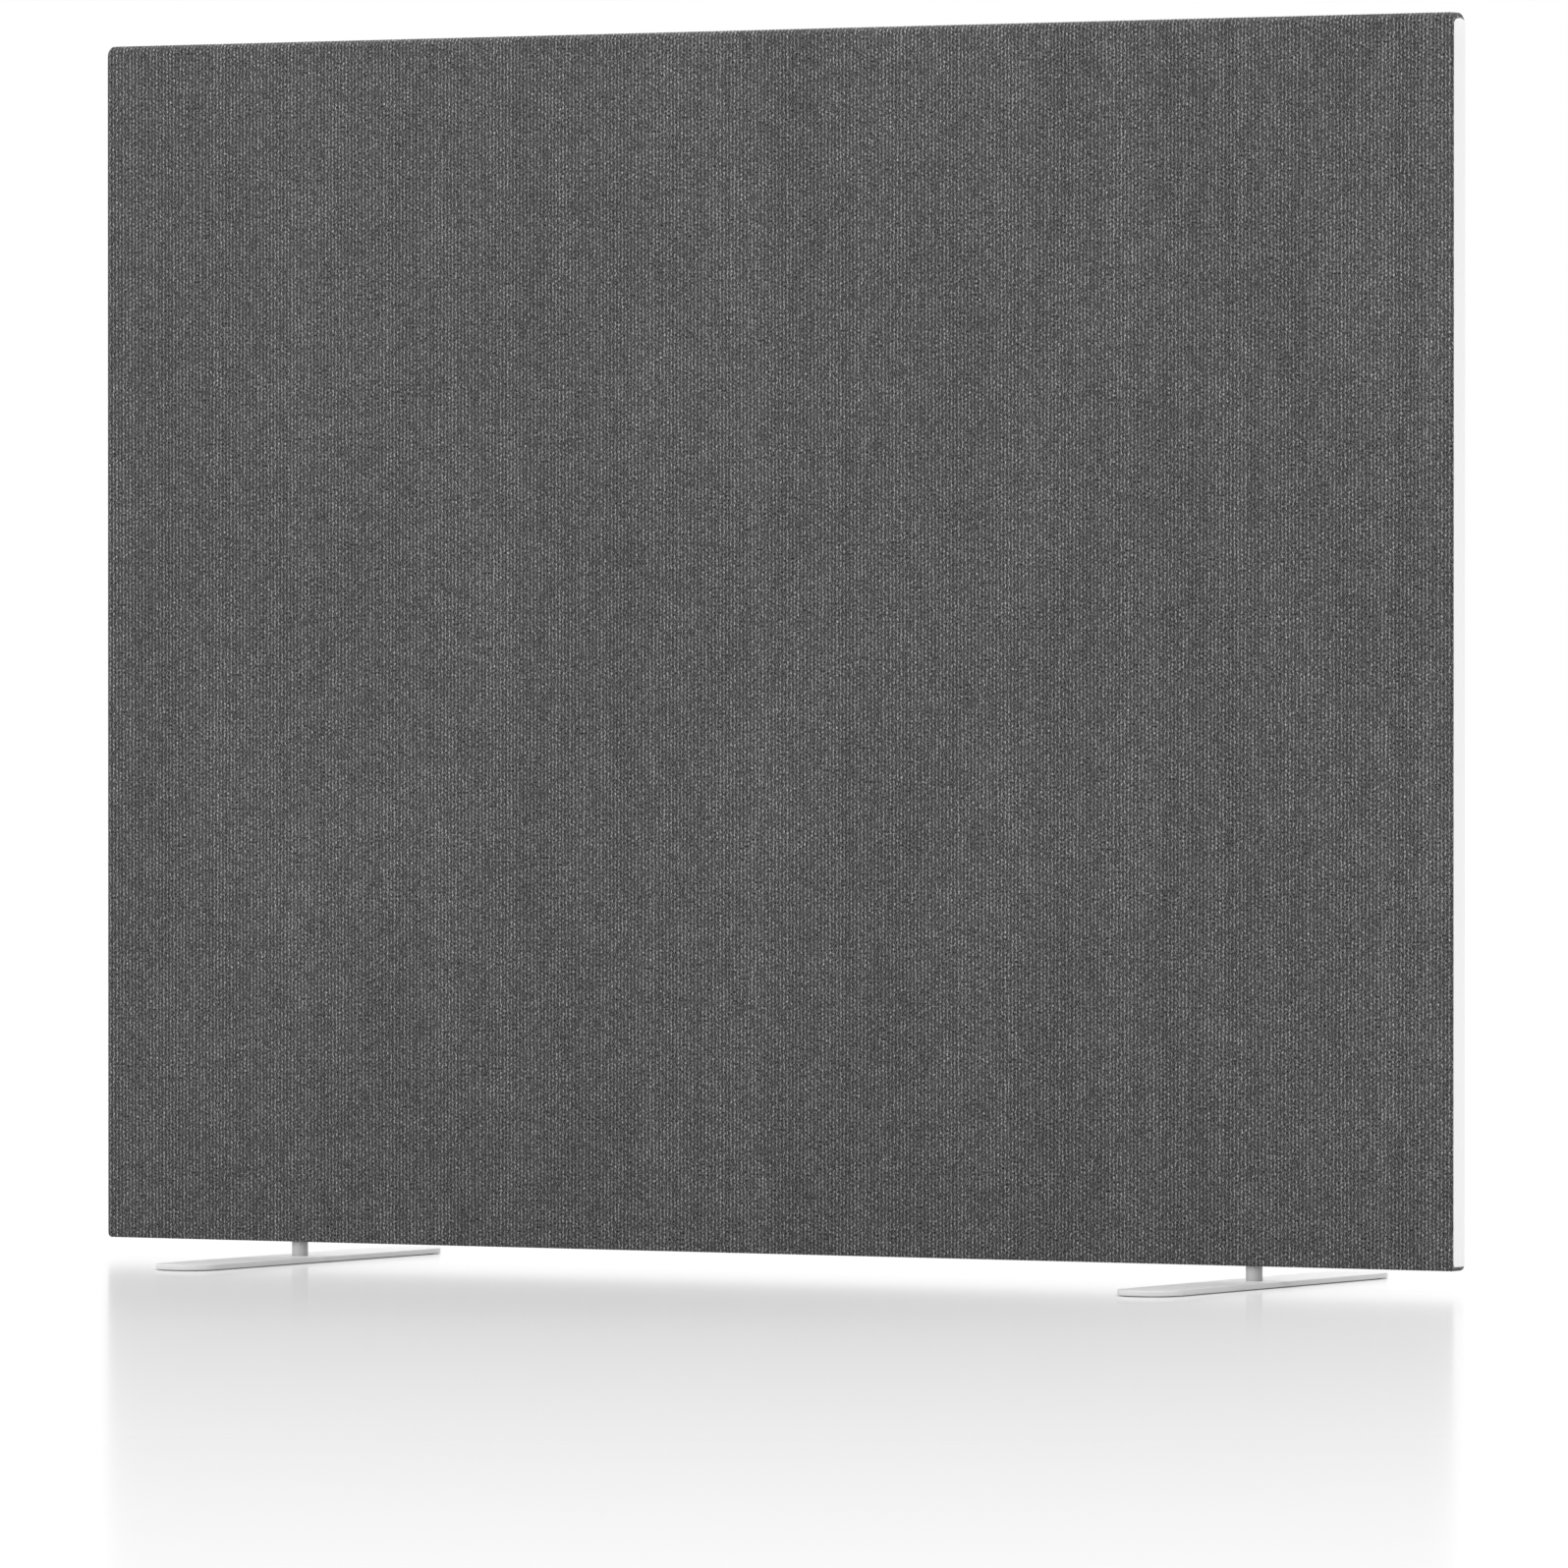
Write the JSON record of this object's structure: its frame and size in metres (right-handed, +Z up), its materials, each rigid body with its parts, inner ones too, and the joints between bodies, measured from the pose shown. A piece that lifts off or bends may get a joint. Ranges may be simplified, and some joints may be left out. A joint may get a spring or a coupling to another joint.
{
  "type": "acoustic divider screen",
  "caption": "Free-standing acoustic divider screen with a padded ribbed-knit cover, white edge strips and flat steel feet that swivel in line with it for storage.",
  "frame": {"origin": "on the floor under the middle of the screen", "axes": "+X along the screen to its right end seen from the front, +Y from the front face to the back face, along the feet, +Z up"},
  "size_m": [1.8, 0.56, 1.44],
  "materials": {
    "timber": "matte",
    "zinc_screw": "satin",
    "acoustic_wool": "matte",
    "felt_wadding": "matte",
    "ribbed_knit": "matte",
    "staple_wire": "satin",
    "white_strip": "satin",
    "brass_insert": "satin",
    "powder_coat_grey": "satin",
    "powder_coat_white": "satin",
    "pad_rubber": "matte"
  },
  "bodies": {
    "panel": {"top_rail": "timber", "bottom_rail": "timber", "left_stile": "timber", "right_stile": "timber", "centre_stile": "timber", "frame_screws": "zinc_screw", "left_core_slab": "acoustic_wool", "right_core_slab": "acoustic_wool", "front_wadding": "felt_wadding", "back_wadding": "felt_wadding", "fabric_cover": "ribbed_knit", "cover_staples": "staple_wire", "left_edge_strip": "white_strip", "right_edge_strip": "white_strip", "threaded_inserts": "brass_insert", "left_post": "powder_coat_grey", "right_post": "powder_coat_grey", "foot_screws": "zinc_screw"},
    "left_foot": {"left_foot_plate": "powder_coat_white", "left_foot_pads": "pad_rubber"},
    "right_foot": {"right_foot_plate": "powder_coat_white", "right_foot_pads": "pad_rubber"}
  },
  "joints": [
    {"name": "left_foot_swivel", "type": "hinge", "parent": "panel", "child": "left_foot", "pos_m": [-0.638, 0, 0.007], "axis": [0, 0, 1], "range_deg": [-90, 90]},
    {"name": "right_foot_swivel", "type": "hinge", "parent": "panel", "child": "right_foot", "pos_m": [0.638, 0, 0.007], "axis": [0, 0, 1], "range_deg": [-90, 90]}
  ]
}
